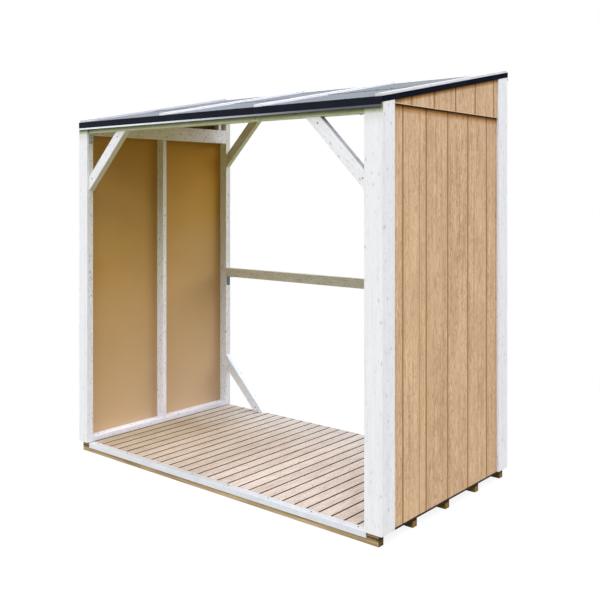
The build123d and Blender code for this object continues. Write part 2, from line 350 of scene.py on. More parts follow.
slatWood = {"light": (0.68, 0.575, 0.498), "dark": (0.40, 0.30, 0.23), "knot": (0.22, 0.13, 0.08),
            "end": (0.46, 0.30, 0.15), "gapShade": (0.020, 0.011, 0.007), "edge": (0.09, 0.05, 0.028),
            "edgeShadeReach": 0.006, "pitch": 0.077, "width": 0.072, "eachSide": 14,
            "leftShadeTint": (0.66, 0.615, 0.50), "leftShadeStart": 0.25, "leftShadeEnd": -0.95, "leftShadeWander": 0.12,
            "backLightTint": (1.03, 1.10, 1.14), "backLightStart": 0.05, "backLightEnd": 0.5,
            "grainStretch": 12.0, "fineGrain": 260.0, "broadGrain": 75.0, "specks": 210.0,
            "knotSpacing": 0.05, "knotRadius": 0.007, "roughness": 0.5}


def makeSlatWood():
    d = slatWood
    run = "back"
    finish, tree, shader = startFinish("slatWood", d["roughness"], specular=0.12)
    place = places(tree)
    spot = split(tree, place["Object"])
    along = maths(tree, "ADD", maths(tree, "DIVIDE", spot["X"], d["pitch"]), 0.5)
    slat = maths(tree, "FLOOR", along)
    chance = chances(tree, slat)
    shift = vectorMaths(tree, "MULTIPLY", chance["Color"], (3.0, 3.0, 3.0))
    grainWay = shiftedGrain(tree, run, d["grainStretch"], shift)
    fine = noise(tree, grainWay, d["fineGrain"], 4.0, 0.65, 0.4)
    broad = noise(tree, grainWay, d["broadGrain"], 3.0, 0.5, 0.8)
    specks = noise(tree, grainSpace(tree, run, 3.0), d["specks"], 2.0, 0.6)
    knot = knots(tree, run, d["knotSpacing"], d["knotRadius"])
    color = blendColors(tree, spread(tree, broad, 0.4, 0.7, 0.0, 0.6), d["light"], d["dark"])
    color = blendColors(tree, spread(tree, fine, 0.45, 0.75, 0.0, 0.6), color, d["dark"])
    color = blendColors(tree, spread(tree, specks, 0.58, 0.72, 0.0, 0.6), color, d["knot"])
    color = blendColors(tree, maths(tree, "MULTIPLY", knot, 0.6), color, d["knot"])
    color = scaleColor(tree, color, spread(tree, chance["Value"], 0.0, 1.0, 0.94, 1.05))
    # painted shade darkens each slat along its edges, beside the gaps
    fromMiddle = maths(tree, "SUBTRACT", along, maths(tree, "ADD", slat, 0.5))
    fromMiddle = maths(tree, "MULTIPLY", fromMiddle, d["pitch"])
    fromEdge = maths(tree, "SUBTRACT", d["width"] / 2, maths(tree, "ABSOLUTE", fromMiddle))
    color = blendColors(tree, spread(tree, fromEdge, 0.001, d["edgeShadeReach"], 0.7, 0.0), color, d["edge"])
    # painted shade makes the slats at the left darker and warmer, its edge wandering from slat to slat,
    # and painted light makes all of them paler and cooler towards the back
    wander = spread(tree, chance["Value"], 0.0, 1.0, -d["leftShadeWander"], d["leftShadeWander"])
    leftShadeEdge = maths(tree, "ADD", spot["X"], wander)
    backwards = spread(tree, spot["Y"], d["backLightStart"], d["backLightEnd"])
    leftShading = maths(tree, "MULTIPLY", spread(tree, leftShadeEdge, d["leftShadeStart"], d["leftShadeEnd"]),
                   maths(tree, "SUBTRACT", 1.0, backwards))
    color = blendColors(tree, leftShading, color, d["leftShadeTint"], "MULTIPLY")
    color = blendColors(tree, backwards, color, d["backLightTint"], "MULTIPLY")
    color = blendColors(tree, maths(tree, "MULTIPLY", endGrain(tree, run), 0.85), color, d["end"])
    # painted shade on the sides of the slats, down in the gaps between them
    sideways = maths(tree, "ABSOLUTE", split(tree, place["Normal"])["X"])
    color = blendColors(tree, spread(tree, sideways, 0.3, 0.6), color, d["gapShade"])
    endFinish(tree, shader, color, fine, 0.3, 0.001)
    return finish


oakSheet = {"light": (0.77, 0.53, 0.345), "mid": (0.61, 0.40, 0.255), "dark": (0.33, 0.165, 0.075),
            "pale": (0.88, 0.64, 0.44), "streakShare": 0.52, "flameShare": 0.72,
            "ringSpacing": 0.011, "ringRipple": 1.6, "ringWander": 0.05, "archLength": 0.75,
            "archSlope": 0.07,
            "groove": (0.38, 0.20, 0.062), "grooveDepth": 0.0006, "groovePitch": 0.206,
            "grooveStart": {"wall_panel": 0.181, "gable_panel": 0.153},
            "stain": (0.42, 0.24, 0.10), "stainFrom": 0.003, "stainReach": 0.012,
            "seam": 0.70, "seamHalf": 0.0045, "seamFrom": 1.86, "seamTo": 1.76,
            "shadeWarm": (0.62, 0.42, 0.14), "shadeDeep": (0.42, 0.40, 0.35),
            "lapShade": (0.040, 0.020), "trimShade": (0.024, 0.008),
            "lapShadowDepth": 0.0075, "lapShadowTone": (0.06, 0.018, 0.0), "edgeHighlight": 0.0035,
            "back": (0.54, 0.325, 0.10), "backDark": (0.50, 0.295, 0.085),
            "backTopShade": (0.51, 0.27, 0.040), "topFrom": 1.35, "topTo": 1.95, "topLean": 0.3,
            "lowSheen": (0.69, 0.53, 0.39), "lowSheenFrom": 0.05, "lowSheenTo": 1.3, "lowSheenShare": 0.6,
            "lowSheenLean": -0.35, "shadeAbovePlate": (0.36, 0.42, 0.85), "cutEdge": (0.13, 0.050, 0.006),
            "sideSeed": 7.3, "roughness": 0.5}


# for each layer of the grain: its stretch along the plank, scale, detail, roughness and twist
oakLayers = {
    "fine": (20.0, 300.0, 5.0, 0.65, 0.3),
    "streak": (50.0, 72.0, 3.0, 0.6, 0.0),
    "flame": (2.8, 90.0, 5.0, 0.75, 1.0),
    "calm": (4.0, 7.0, 2.0, 0.5, 0.0),
    "pores": (6.0, 420.0, 2.0, 0.5, 0.0),
    "patches": (3.0, 9.0, 3.0, 0.6, 0.0),
    "wander": (6.0, 9.0, 3.0, 0.55, 0.0),
    "ripple": (8.0, 70.0, 3.0, 0.6, 0.0),
}


def oakLayer(tree, name, shift):
    stretch, *settings = oakLayers[name]
    return noise(tree, shiftedGrain(tree, "up", stretch, shift), *settings)


def growthRings(tree, spot, along, shift):
    # arches of the growth rings, where a plank was cut near the heart
    d = oakSheet
    wander = spread(tree, oakLayer(tree, "wander", shift), 0.3, 0.7, -d["ringWander"], d["ringWander"])
    aside = maths(tree, "SUBTRACT", maths(tree, "FRACT", along), 0.5)
    aside = maths(tree, "MULTIPLY", aside, d["groovePitch"])
    aside = maths(tree, "ADD", aside, wander)
    heart = maths(tree, "ADD", spot["Z"], split(tree, shift)["Y"])
    heart = maths(tree, "PINGPONG", heart, d["archLength"])
    heart = maths(tree, "SUBTRACT", heart, d["archLength"] * 0.5)
    heart = maths(tree, "MULTIPLY", heart, d["archSlope"])
    reach = maths(tree, "ADD", maths(tree, "MULTIPLY", aside, aside), maths(tree, "MULTIPLY", heart, heart))
    reach = maths(tree, "DIVIDE", maths(tree, "SQRT", reach), d["ringSpacing"])
    ripple = maths(tree, "MULTIPLY", oakLayer(tree, "ripple", shift), d["ringRipple"])
    return maths(tree, "PINGPONG", maths(tree, "ADD", reach, ripple), 0.5)


def oakGrain(tree, spot, along, chance):
    # the colour of the planks, each with a grain of its own, and the height of that grain
    d = oakSheet
    shift = vectorMaths(tree, "MULTIPLY", chance["Color"], (4.0, 4.0, 4.0))
    rings = growthRings(tree, spot, along, shift)
    fine, pores = oakLayer(tree, "fine", shift), oakLayer(tree, "pores", shift)
    calm = spread(tree, oakLayer(tree, "calm", shift), 0.38, 0.62, 0.3, 1.0)
    patches = spread(tree, oakLayer(tree, "patches", shift), 0.35, 0.7)
    color = blendColors(tree, patches, d["light"], d["mid"])
    figured = spread(tree, split(tree, shift)["Z"], 0.0, 4.0, 0.15, 0.55)
    figured = maths(tree, "MULTIPLY", spread(tree, rings, 0.22, 0.5), figured)
    color = blendColors(tree, figured, color, d["dark"])
    for name, share in (("streak", d["streakShare"]), ("flame", d["flameShare"])):
        layer = oakLayer(tree, name, shift)
        pale = maths(tree, "MULTIPLY", spread(tree, layer, 0.3, 0.48, share, 0.0), calm)
        deep = maths(tree, "MULTIPLY", spread(tree, layer, 0.5, 0.7, 0.0, share), calm)
        color = blendColors(tree, pale, color, d["pale"])
        color = blendColors(tree, deep, color, d["dark"])
    color = blendColors(tree, spread(tree, fine, 0.5, 0.8, 0.0, 0.6), color, d["dark"])
    color = blendColors(tree, spread(tree, pores, 0.60, 0.70, 0.0, 0.6), color, d["dark"])
    color = scaleColor(tree, color, spread(tree, chance["Value"], 0.0, 1.0, 0.99, 1.05))
    return color, maths(tree, "ADD", fine, pores)


def shadeBelow(tree, color, below, reaches):
    # painted shade under an edge: a warm band, and a deeper one within it
    for reach, tone in zip(reaches, (oakSheet["shadeWarm"], oakSheet["shadeDeep"])):
        share = spread(tree, below, reach * 0.4, reach, 1.0, 0.0)
        color = blendColors(tree, share, color, tone, "MULTIPLY")
    return color


def sheetEdges(tree, color, spot, along, name, sheet):
    d = oakSheet
    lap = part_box(name + "_gable_panel")[0].z
    if sheet == "wall_panel":
        # a hairline along one plank
        seam = maths(tree, "ABSOLUTE", maths(tree, "SUBTRACT", along, d["seam"]))
        seam = maths(tree, "MULTIPLY", seam, d["groovePitch"])
        seam = maths(tree, "MULTIPLY", spread(tree, seam, d["seamHalf"] * 0.4, d["seamHalf"], 0.8, 0.0),
                     spread(tree, spot["Z"], d["seamFrom"], d["seamTo"], 0.25, 1.0))
        color = blendColors(tree, seam, color, d["groove"])
        # painted shadow under the lap of the upper sheet
        below = maths(tree, "SUBTRACT", lap, spot["Z"])
        color = shadeBelow(tree, color, below, d["lapShade"])
        near = spread(tree, below, d["lapShadowDepth"] * 0.8, d["lapShadowDepth"] * 1.3, 0.97, 0.0)
        return blendColors(tree, near, color, d["lapShadowTone"])
    # painted shade under the edge strip of the roof, and a painted highlight along the lower edge
    strip = maths(tree, "ADD", maths(tree, "MULTIPLY", spot["Y"], roofSlope),
                  roofLevel(0.0, -roof["sideTrimBelow"]))
    color = shadeBelow(tree, color, maths(tree, "SUBTRACT", strip, spot["Z"]), d["trimShade"])
    aboveLap = maths(tree, "SUBTRACT", spot["Z"], lap)
    near = spread(tree, aboveLap, d["edgeHighlight"] * 0.7, d["edgeHighlight"] * 1.3, 0.6, 0.0)
    return blendColors(tree, near, color, d["pale"])


def sheetBack(tree, place, spot, plateTop):
    # smooth brown board; painted shade deepens it towards the top, a painted sheen pales it towards the
    # floor, and painted shade darkens it above the top plate
    d = oakSheet
    mottle = noise(tree, place["Object"], 2.2, 2.0, 0.5)
    fibres = noise(tree, place["Object"], 700.0, 2.0, 0.6)
    back = blendColors(tree, spread(tree, mottle, 0.35, 0.65), d["back"], d["backDark"])
    back = blendColors(tree, spread(tree, fibres, 0.5, 0.8, 0.0, 0.15), back, d["dark"])
    upper = maths(tree, "ADD", spot["Z"], maths(tree, "MULTIPLY", spot["Y"], d["topLean"]))
    lower = maths(tree, "ADD", spot["Z"], maths(tree, "MULTIPLY", spot["Y"], d["lowSheenLean"]))
    sheenShare = spread(tree, lower, d["lowSheenFrom"], d["lowSheenTo"], d["lowSheenShare"], 0.0)
    back = blendColors(tree, spread(tree, upper, d["topFrom"], d["topTo"]), back, d["backTopShade"])
    back = blendColors(tree, sheenShare, back, d["lowSheen"])
    abovePlate = spread(tree, spot["Z"], plateTop - 0.002, plateTop)
    return blendColors(tree, abovePlate, back, d["shadeAbovePlate"], "MULTIPLY")


def makeOakSheet(name, sheet, side):
    d = oakSheet
    node = name + "_" + sheet
    finish, tree, shader = startFinish("oakSheet_" + node, d["roughness"], specular=0.05)
    low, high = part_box(node)
    place = places(tree)
    spot = split(tree, place["Object"])
    # planks are counted from the first groove
    along = maths(tree, "SUBTRACT", spot["Y"], low.y + d["grooveStart"][sheet])
    along = maths(tree, "DIVIDE", along, d["groovePitch"])
    chance = chances(tree, maths(tree, "ADD", maths(tree, "FLOOR", along), d["sideSeed"] * side))
    color, height = oakGrain(tree, spot, along, chance)
    fromGroove = maths(tree, "MULTIPLY", maths(tree, "PINGPONG", along, 0.5), d["groovePitch"])
    stained = spread(tree, fromGroove, d["stainFrom"], d["stainReach"], 0.7, 0.0)
    color = blendColors(tree, stained, color, d["stain"])
    outside = high.x if side > 0 else -low.x
    depth = maths(tree, "SUBTRACT", outside, maths(tree, "MULTIPLY", spot["X"], side))
    color = blendColors(tree, spread(tree, depth, 0.0001, d["grooveDepth"]), color, d["groove"])
    color = sheetEdges(tree, color, spot, along, name, sheet)
    back = sheetBack(tree, place, spot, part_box(name + "_top_plate")[1].z)
    outwards = maths(tree, "MULTIPLY", split(tree, place["Normal"])["X"], side)
    back = blendColors(tree, spread(tree, outwards, -0.1, -0.05), back, d["cutEdge"])
    outer = spread(tree, outwards, 0.05, 0.1)
    color = blendColors(tree, outer, back, color)
    endFinish(tree, shader, color, maths(tree, "MULTIPLY", height, outer), 0.35, 0.0008)
    return finish


strandBoard = {"pale": (0.62, 0.44, 0.24), "deep": (0.42, 0.26, 0.12), "grain": (0.35, 0.21, 0.1),
               "flakes": 42.0, "roughness": 0.75}


def makeStrandBoard():
    d = strandBoard
    finish, tree, shader = startFinish("strandBoard", d["roughness"])
    inputs = {"Vector": places(tree)["Object"], "Scale": d["flakes"], "Randomness": 1.0}
    flakes = addNode(tree, "ShaderNodeTexVoronoi", inputs, feature="F1", distance="MANHATTAN").outputs
    grain = noise(tree, grainSpace(tree, "across", 6.0), 140.0, 4.0, 0.6)
    color = blendColors(tree, split(tree, flakes["Color"])[0], d["pale"], d["deep"])
    color = blendColors(tree, spread(tree, grain, 0.4, 0.7, 0.0, 0.5), color, d["grain"])
    endFinish(tree, shader, color, flakes["Distance"], 0.3, 0.001)
    return finish


mineralFelt = {"light": (0.22, 0.235, 0.252), "dark": (0.09, 0.10, 0.112), "grit": 900.0,
               "roughness": 0.85}


def makeMineralFelt():
    d = mineralFelt
    finish, tree, shader = startFinish("mineralFelt", d["roughness"])
    place = places(tree)["Object"]
    grit = noise(tree, place, d["grit"], 3.0, 0.7)
    cloud = noise(tree, place, 4.0, 3.0)
    color = blendColors(tree, spread(tree, grit, 0.35, 0.7), d["light"], d["dark"])
    color = blendColors(tree, spread(tree, cloud, 0.4, 0.7, 0.0, 0.3), color, d["dark"])
    endFinish(tree, shader, color, grit, 0.5, 0.001)
    return finish


edgeBlack = {"base": (0.008, 0.010, 0.018), "worn": (0.014, 0.016, 0.026), "lip": (0.66, 0.68, 0.70),
             "lipDimReflection": (0.085, 0.09, 0.10), "lipHeight": 0.0105, "reflectionBrightUntil": -0.75,
             "reflectionDimFrom": 0.95, "roughness": 0.5}


def makeEdgeBlack(strip=None):
    d = edgeBlack
    specular = 0.05 if strip else 0.0
    finish, tree, shader = startFinish("edgeBlack_" + (strip or "side"), d["roughness"], specular=specular)
    place = places(tree)["Object"]
    cloud = noise(tree, place, 9.0, 4.0, 0.6)
    color = blendColors(tree, spread(tree, cloud, 0.4, 0.75), d["base"], d["worn"])
    if strip:
        # the drip edge below the fold is pale bare metal with a painted reflection, bright at the left and
        # dimming towards the right
        spot = split(tree, place)
        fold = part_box(strip)[0].z + d["lipHeight"]
        dull = spread(tree, spot["X"], d["reflectionBrightUntil"], d["reflectionDimFrom"], how="SMOOTHSTEP")
        metal = blendColors(tree, dull, d["lip"], d["lipDimReflection"])
        color = blendColors(tree, spread(tree, spot["Z"], fold - 0.001, fold, 1.0, 0.0), color, metal)
    endFinish(tree, shader, color, noise(tree, place, 60.0, 2.0), 0.05, 0.001)
    return finish


zincSteel = {"front": (0.52, 0.54, 0.48), "frontUntil": -0.3, "rear": (0.13, 0.17, 0.20), "rearFrom": 0.3,
             "worn": 0.65, "bright": 1.1, "spangle": 260.0, "metallic": 0.4, "roughness": 0.5}


def makeZinc():
    # the rear brackets are much darker than the front ones, as painted shade under the roof
    d = zincSteel
    finish, tree, shader = startFinish("zincSteel", d["roughness"], d["metallic"])
    place = places(tree)["Object"]
    inputs = {"Vector": place, "Scale": d["spangle"]}
    spangle = addNode(tree, "ShaderNodeTexVoronoi", inputs, feature="F1").outputs
    backwards = spread(tree, split(tree, place)["Y"], d["frontUntil"], d["rearFrom"])
    color = blendColors(tree, backwards, d["front"], d["rear"])
    tone = spread(tree, split(tree, spangle["Color"])[0], 0.0, 1.0, d["worn"], d["bright"])
    color = scaleColor(tree, color, tone)
    endFinish(tree, shader, color, spangle["Distance"], 0.1, 0.0005)
    return finish


headTones = {"painted": (0.74, 0.73, 0.76), "oak": (0.42, 0.27, 0.15), "steel": (0.20, 0.19, 0.18),
             "black": (0.012, 0.013, 0.018)}


def makeHeadFinish(tone):
    # driven heads, dulled and chipped a little by the hammer
    metallic = 0.7 if tone == "steel" else 0.0
    finish, tree, shader = startFinish("nailHead_" + tone, 0.5, metallic, 0.3)
    chips = noise(tree, places(tree)["Object"], 900.0, 2.0, 0.6)
    worn = tuple(0.6 * channel for channel in headTones[tone])
    color = blendColors(tree, spread(tree, chips, 0.5, 0.7), headTones[tone], worn)
    endFinish(tree, shader, color, chips, 0.2, 0.0003)
    return finish


def dress(names, finish):
    for name in names:
        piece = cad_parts[name]
        piece.data.materials.clear()
        piece.data.materials.append(finish)


bothSides = ("left", "right")
dress(["bearer_1"], makeTreatedTimber("first"))
dress([f"bearer_{n}" for n in range(2, 6)], makeTreatedTimber("hidden"))
dress(["deck_boards"], makeSlatWood())
dress(["front_sill"], makeSatinMetal())
dress(["front_header"], makeWhiteTimber("across", "oliveShade", "front_header"))
dress(["rear_header"], makeWhiteTimber("across", "oliveShade"))
dress(["rear_rail"], makeWhiteTimber("across", "rail"))
dress(["front_corner_boards"], makeWhiteTimber("up", under="front_corner_boards"))
dress(["rear_corner_boards"], makeWhiteTimber("up"))
dress([side + "_side_corner_boards" for side in bothSides], makeWhiteTimber("up", "side"))
dress([side + part for side in bothSides for part in ("_front_post", "_rear_post", "_center_stud")],
      makeWhiteTimber("up", "indoorShade"))
dress([side + "_gable_stud" for side in bothSides], makeWhiteTimber("up", "gableStudShade"))
dress([side + "_top_plate" for side in bothSides], makeWhiteTimber("back", "plate"))
dress([side + "_bottom_plate" for side in bothSides], makeWhiteTimber("back", "floor"))
dress(["left_front_brace"], makeWhiteTimber("leaningRight", "brace"))
dress(["right_front_brace"], makeWhiteTimber("leaningLeft", "shaded"))
dress(["left_rear_upper_brace"], makeWhiteTimber("leaningRight", "upperBraceShade"))
dress(["right_rear_upper_brace"], makeWhiteTimber("leaningLeft", "upperBraceShade"))
dress(["left_rear_lower_brace"], makeWhiteTimber("leaningLeft", "foot"))
dress(["right_rear_lower_brace"], makeWhiteTimber("leaningRight", "foot"))
for side, sign in zip(bothSides, (-1, 1)):
    for sheet in ("wall_panel", "gable_panel"):
        dress([side + "_" + sheet], makeOakSheet(side, sheet, sign))
dress(["rafters"], makeBareTimber("back"))
dress(["roof_board"], makeStrandBoard())
dress(["roof_battens"], makeWhiteTimber("back", "grey"))
dress([side + "_side_trim" for side in bothSides], makeEdgeBlack())
for strip in ("front_trim", "rear_trim"):
    dress([strip], makeEdgeBlack(strip))
dress(["corner_brackets"], makeZinc())
print("frame dressed")


feltSheets = {"lap": 0.10, "thickness": 0.0028, "lift": 0.0025, "settle": 0.03, "cuts": 30,
              "ripple": 0.0005}


def makeFelt():
    # two widths of felt along the roof, the upper one lapped over the lower
    d = feltSheets
    low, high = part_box("roof_felt")
    middle = (low.y + high.y) / 2
    lapTop = middle + d["lap"] / 2
    spans = ((low.y, lapTop, 0.0), (middle - d["lap"] / 2, high.y, d["lift"]))
    sheets = []
    for start, stop, lift in spans:
        bpy.ops.object.select_all(action="DESELECT")
        bpy.ops.mesh.primitive_plane_add(size=1.0, location=(0, (start + stop) / 2, 0))
        sheet = bpy.context.object
        bpy.ops.transform.resize(value=(high.x - low.x, stop - start, 1.0))
        bpy.ops.object.transform_apply(location=True, scale=True)
        bpy.ops.object.mode_set(mode="EDIT")
        bpy.ops.mesh.subdivide(number_cuts=d["cuts"])
        bpy.ops.object.mode_set(mode="OBJECT")
        for vertex in sheet.data.vertices:
            x, y = vertex.co.x, vertex.co.y
            raised = min(1.0, max(0.0, (lapTop + d["settle"] - y) / d["settle"]))
            ripple = d["ripple"] * (math.sin(7.0 * x + 5.0 * y) * math.sin(3.0 * x - 11.0 * y) - 1.0)
            vertex.co.z = roofLevel(y, roof["board"] + lift * raised + ripple)
        thicken = sheet.modifiers.new("thickness", "SOLIDIFY")
        thicken.thickness = d["thickness"]
        thicken.offset = 1.0
        bpy.ops.object.modifier_apply(modifier=thicken.name)
        sheets.append(sheet)
    for sheet in sheets:
        sheet.select_set(True)
    bpy.context.view_layer.objects.active = sheets[0]
    bpy.ops.object.join()
    felt = bpy.context.object
    felt.name = "roofFeltSheets"
    felt.data.materials.append(makeMineralFelt())
    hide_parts("roof_felt")
    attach(felt, "root")
    print("felt laid:", len(spans), "widths")


makeFelt()


headSizes = {
    "pin": {"radius": 0.0015, "rise": 0.0004, "sides": 8},
    "deckPin": {"radius": 0.0023, "rise": 0.0004, "sides": 8},
    "nail": {"radius": 0.0030, "rise": 0.0007, "sides": 10},
    "clout": {"radius": 0.0045, "rise": 0.0010, "sides": 10},
    "screw": {"radius": 0.0042, "rise": 0.0008, "sides": 12, "recess": 0.0009},
    "panScrew": {"radius": 0.0040, "rise": 0.0020, "sides": 12, "recess": 0.0012},
}
headSunk = 0.0012  # how far each head reaches into what it holds


def pickFaces(piece, wanted):
    bpy.ops.mesh.select_mode(type="FACE")
    bpy.ops.mesh.select_all(action="DESELECT")
    mesh = bmesh.from_edit_mesh(piece.data)
    for face in mesh.faces:
        if wanted(face):
            face.select_set(True)
    bmesh.update_edit_mesh(piece.data)


def modelHead(kind):
    # one head that points up, its rim at the surface it is driven into
    d = headSizes[kind]
    bpy.ops.object.select_all(action="DESELECT")
    bpy.ops.mesh.primitive_cylinder_add(vertices=d["sides"], radius=d["radius"], depth=d["rise"] + headSunk,
                                        location=(0, 0, (d["rise"] - headSunk) / 2))
    head = bpy.context.object
    bpy.ops.object.transform_apply(location=True)
    bpy.ops.object.mode_set(mode="EDIT")
    pickFaces(head, lambda face: face.normal.z > 0.9)
    bpy.ops.mesh.inset(thickness=d["radius"] * 0.35, depth=d["rise"] * 0.4)
    if "recess" in d:
        bpy.ops.mesh.inset(thickness=d["radius"] * 0.2, depth=0.0)
        bpy.ops.mesh.extrude_region_move(TRANSFORM_OT_translate={"value": (0, 0, -d["recess"])})
        bpy.ops.transform.resize(value=(0.7, 0.7, 1.0))
    bpy.ops.object.mode_set(mode="OBJECT")
    return head


def driveHeads(name, kind, spots, finish):
    # copies of one head at each spot, turned to face outwards, then joined
    head = modelHead(kind)
    copies = []
    for point, outward in spots:
        copy = head.copy()
        copy.data = head.data.copy()
        turn = Vector((0, 0, 1)).rotation_difference(Vector(outward)).to_matrix().to_4x4()
        spin = Matrix.Rotation(random.uniform(0, math.pi), 4, "Z")
        copy.data.transform(Matrix.Translation(point) @ turn @ spin)
        bpy.context.scene.collection.objects.link(copy)
        copies.append(copy)
    bpy.data.objects.remove(head)
    bpy.ops.object.select_all(action="DESELECT")
    for copy in copies:
        copy.select_set(True)
    bpy.context.view_layer.objects.active = copies[0]
    bpy.ops.object.join()
    piece = bpy.context.object
    piece.name = name
    piece.data.materials.clear()
    piece.data.materials.append(finish)
    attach(piece, "root")
    print(name + ":", len(spots), "heads")


def steps(first, last, spacing):
    # even places from first to last, no further apart than the spacing
    gaps = max(1, math.ceil((last - first) / spacing))
    return [first + (last - first) * number / gaps for number in range(gaps + 1)]


def jitter(reach):
    return random.uniform(-reach, reach)


deckPins = {"inset": 0.018, "wanderX": 0.002, "wanderY": 0.003}


def deckPinSpots():
    # two pins in each slat over every bearer but the first, where the sill lies
    d = deckPins
    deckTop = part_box("deck_boards")[1].z
    clear = -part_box("left_bottom_plate")[1].x - d["inset"] / 2
    spots = []
    for number in range(2, 6):
        bearerLow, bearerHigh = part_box(f"bearer_{number}")
        y = (bearerLow.y + bearerHigh.y) / 2
        for slat in range(-slatWood["eachSide"], slatWood["eachSide"] + 1):
            for step in (-1, 1):
                x = slat * slatWood["pitch"] + step * (slatWood["width"] / 2 - d["inset"])
                if abs(x) < clear:
                    point = (x + jitter(d["wanderX"]), y + jitter(d["wanderY"]), deckTop)
                    spots.append((point, (0, 0, 1)))
    return spots


boardNails = {"inset": 0.016, "spacing": 0.42, "lowest": 0.05, "belowRoof": 0.075,
              "frontWidth": 0.096, "sideWidth": 0.095, "wander": 0.002, "wanderUp": 0.012}


def boardNailSpots():
    # two rows of nails down each corner board
    d = boardNails
    low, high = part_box("front_corner_boards")
    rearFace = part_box("rear_corner_boards")[1].y
    sideLow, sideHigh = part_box("right_side_corner_boards")
    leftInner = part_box("left_front_post")[1].x
    rightInner = high.x - d["frontWidth"]
    bottom = low.z + d["lowest"]
    spots = []
    for y, out in ((low.y, -1), (rearFace, 1)):
        columns = (low.x + d["inset"], leftInner - d["inset"], rightInner + d["inset"], high.x - d["inset"])
        for x in columns:
            for z in steps(bottom, roofLevel(y) - d["belowRoof"], d["spacing"]):
                spots.append(((x + jitter(d["wander"]), y, z + jitter(d["wanderUp"])), (0, out, 0)))
    for side in (-1, 1):
        for start in (sideLow.y, sideHigh.y - d["sideWidth"]):
            for y in (start + d["inset"], start + d["sideWidth"] - d["inset"]):
                for z in steps(bottom, roofLevel(y) - d["belowRoof"], d["spacing"]):
                    point = (side * sideHigh.x, y + jitter(d["wander"]), z + jitter(d["wanderUp"]))
                    spots.append((point, (side, 0, 0)))
    return spots


sheetPins = {"edge": 0.018, "besideGroove": 0.020, "studSpacing": 0.21, "studOffset": 0.005,
             "wanderUp": 0.002, "wanderOnStud": 0.004}


def sheetPinSpots():
    # pins beside the grooves along the edges of each sheet, and down the middle stud
    d = sheetPins
    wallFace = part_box("right_wall_panel")[1].x
    gableLow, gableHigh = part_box("right_gable_panel")
    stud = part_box("right_center_stud")
    spots = []
    for sheet, start in oakSheet["grooveStart"].items():
        low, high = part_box("right_" + sheet)
        groove = low.y + start
        while groove < gableHigh.y:
            for y in (groove - d["besideGroove"], groove + d["besideGroove"]):
                if abs(y) < gableHigh.y - d["besideGroove"] / 2:
                    levels = [low.z + d["edge"]]
                    if sheet == "gable_panel":
                        levels.append(roofLevel(y, -roof["sideTrimBelow"]) - d["edge"])
                    for z in levels:
                        for side in (-1, 1):
                            spots.append(((side * high.x, y, z + jitter(d["wanderUp"])), (side, 0, 0)))
            groove += oakSheet["groovePitch"]
    for z in steps(stud[0].z + d["edge"], gableLow.z - d["edge"], d["studSpacing"]):
        for side in (-1, 1):
            point = (side * wallFace, jitter(d["wanderOnStud"]) + d["studOffset"], z)
            spots.append((point, (side, 0, 0)))
    return spots


braceScrews = {"inset": 0.030, "braceWidth": 0.062}


def braceScrewSpots():
    # one screw near each end of every brace, on the face that looks forward
    d = braceScrews
    half = d["braceWidth"] / math.sqrt(2)
    spots = []
    for side, sign in zip(bothSides, (-1, 1)):
        for name in ("front_brace", "rear_upper_brace", "rear_lower_brace"):
            low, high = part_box(f"{side}_{name}")
            post, free = (low.x, high.x) if sign < 0 else (high.x, low.x)
            tip, end, lean = (high.z, low.z, -1) if name == "rear_lower_brace" else (low.z, high.z, 1)
            nearPost = (post - sign * d["inset"], low.y, tip + lean * (d["inset"] + half))
            nearBeam = (free + sign * (d["inset"] + half), low.y, end - lean * d["inset"])
            spots += [(nearPost, (0, -1, 0)), (nearBeam, (0, -1, 0))]
    return spots


sillScrews = {"inset": 0.06, "spacing": 0.30, "offset": 0.003, "plateSpacing": 0.34, "besideStud": 0.04}


def sillScrewSpots():
    # along the sill, and along the bottom plates but for the foot of the middle stud
    d = sillScrews
    low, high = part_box("front_sill")
    y = (low.y + high.y) / 2 + d["offset"]
    spots = []
    for x in steps(low.x + d["inset"], high.x - d["inset"], d["spacing"]):
        spots.append(((x, y, high.z), (0, 0, 1)))
    for side in bothSides:
        low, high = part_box(f"{side}_bottom_plate")
        x = (low.x + high.x) / 2
        for y in steps(low.y + d["inset"], high.y - d["inset"], d["plateSpacing"]):
            if abs(y) > d["besideStud"]:
                spots.append(((x, y, high.z), (0, 0, 1)))
    return spots


bracketScrews = {"holes": (0.028, 0.050), "bracketWidth": 0.030, "bracketThickness": 0.002}


def bracketScrewSpots():
    # two holes in each leg of the four brackets
    d = bracketScrews
    frontLow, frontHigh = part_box("front_header")
    rearLow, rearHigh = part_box("rear_rail")
    frontY = frontLow.y + d["bracketWidth"] / 2
    rearY = rearHigh.y - d["bracketWidth"] / 2
    spots = []
    for side, face in ((-1, frontLow.x), (1, frontHigh.x)):
        for y, top in ((frontY, frontLow.z), (rearY, rearLow.z)):
            for hole in d["holes"]:
                onPost = (face - side * d["bracketThickness"], y, top - hole)
                underBeam = (face - side * hole, y, top - d["bracketThickness"])
                spots += [(onPost, (-side, 0, 0)), (underBeam, (0, 0, -1))]
    return spots


battens = {"width": 0.038, "height": 0.013, "innerX": 0.364, "nailInset": 0.05, "nailSpacing": 0.28,
           "wander": 0.004}


def battenNailSpots():
    d = battens
    low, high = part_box("roof_battens")
    top = roof["covered"] + d["height"]
    spots = []
    for x in (low.x + d["width"] / 2, -d["innerX"], d["innerX"], high.x - d["width"] / 2):
        for y in steps(low.y + d["nailInset"], high.y - d["nailInset"], d["nailSpacing"]):
            spots.append(((x + jitter(d["wander"]), y, roofLevel(y, top)), offRoof))
    return spots


clouts = {"inset": 0.014, "fromEnd": 0.07, "spacing": 0.15, "lapInset": 0.018, "lapFromEnd": 0.05,
          "lapSpacing": 0.09, "besideBatten": 0.03, "wanderX": 0.004, "wanderY": 0.003}


